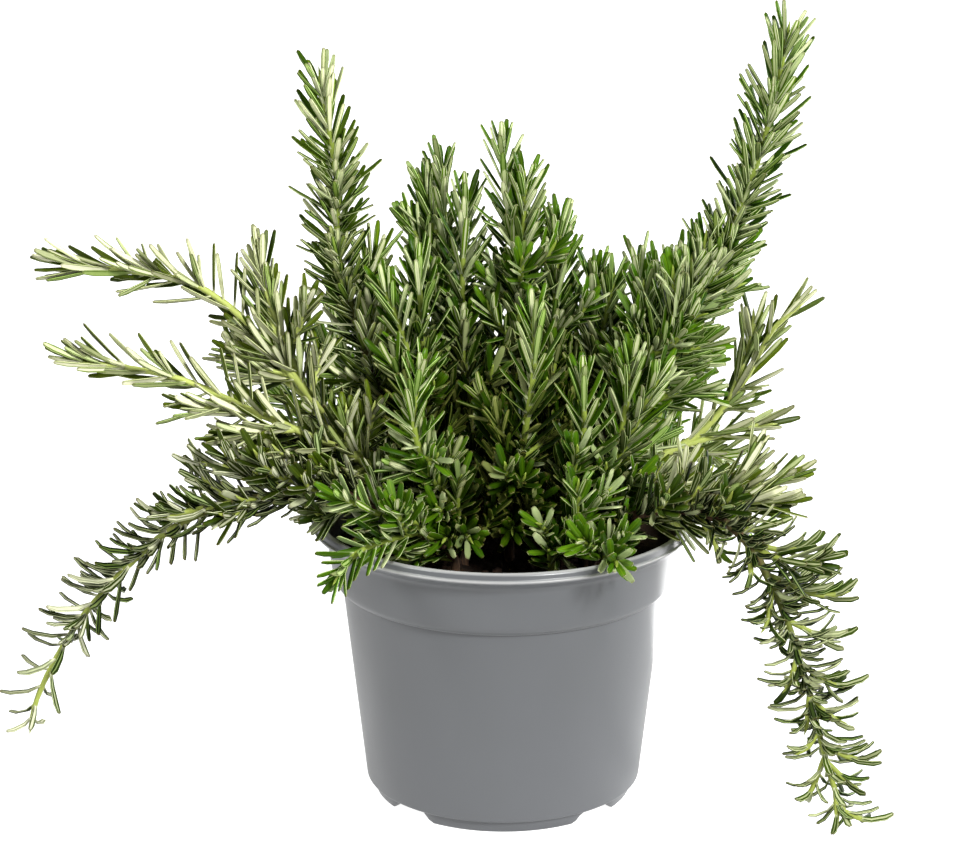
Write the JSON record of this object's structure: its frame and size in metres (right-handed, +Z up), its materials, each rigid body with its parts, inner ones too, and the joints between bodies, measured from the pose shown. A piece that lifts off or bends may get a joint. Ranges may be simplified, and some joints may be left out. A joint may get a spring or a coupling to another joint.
{
  "type": "potted rosemary plant",
  "caption": "Bushy rosemary herb plant in a tapered grey plastic grower's pot, with upright shoots in the middle and arching and trailing leafy stems at the sides.",
  "frame": {"origin": "on the pot's axis, at the level that the pot stands on", "axes": "+Z up along the pot's axis, +X to the viewer's right with the tall right shoot, +Y to the back"},
  "size_m": [0.2925, 0.1857, 0.271],
  "materials": {
    "pot": "satin mid-grey injection-moulded polypropylene",
    "soil": "dark, fibrous, moist peat with a few bark chips",
    "rosemary": "glossy dark green needles, pale felted underneath, on yellow-green to woody stems",
    "rosemary_pale": "young, lighter green needles, pale felted underneath, on pale green stems"
  },
  "bodies": {
    "root": {"pot": "pot", "soil": "soil", "stem_tall_left": "rosemary", "stem_upper_left": "rosemary_pale", "stem_mid_left": "rosemary_pale", "stem_trailing_left": "rosemary", "stem_front_left": "rosemary", "stem_front_middle": "rosemary", "stem_crown_back": "rosemary", "stem_crown_left": "rosemary", "stem_crown_middle": "rosemary", "stem_crown_right": "rosemary", "stem_bright_front": "rosemary", "stem_inner_right": "rosemary", "stem_slim_right": "rosemary", "stem_front_right": "rosemary", "stem_right_cluster": "rosemary", "stem_right_low": "rosemary", "stem_tall_right": "rosemary", "stem_pale_right": "rosemary_pale", "stem_low_right": "rosemary_pale", "stem_trailing_right": "rosemary", "stem_front_fans": "rosemary", "stem_rim_right": "rosemary", "stem_back_left_low": "rosemary", "stem_back_left": "rosemary", "stem_back_fan_left": "rosemary", "stem_back_upright": "rosemary", "stem_back_middle": "rosemary", "stem_back_right_upright": "rosemary", "stem_back_fan_right": "rosemary", "stem_back_right": "rosemary", "stem_back_right_low": "rosemary"}
  },
  "joints": []
}
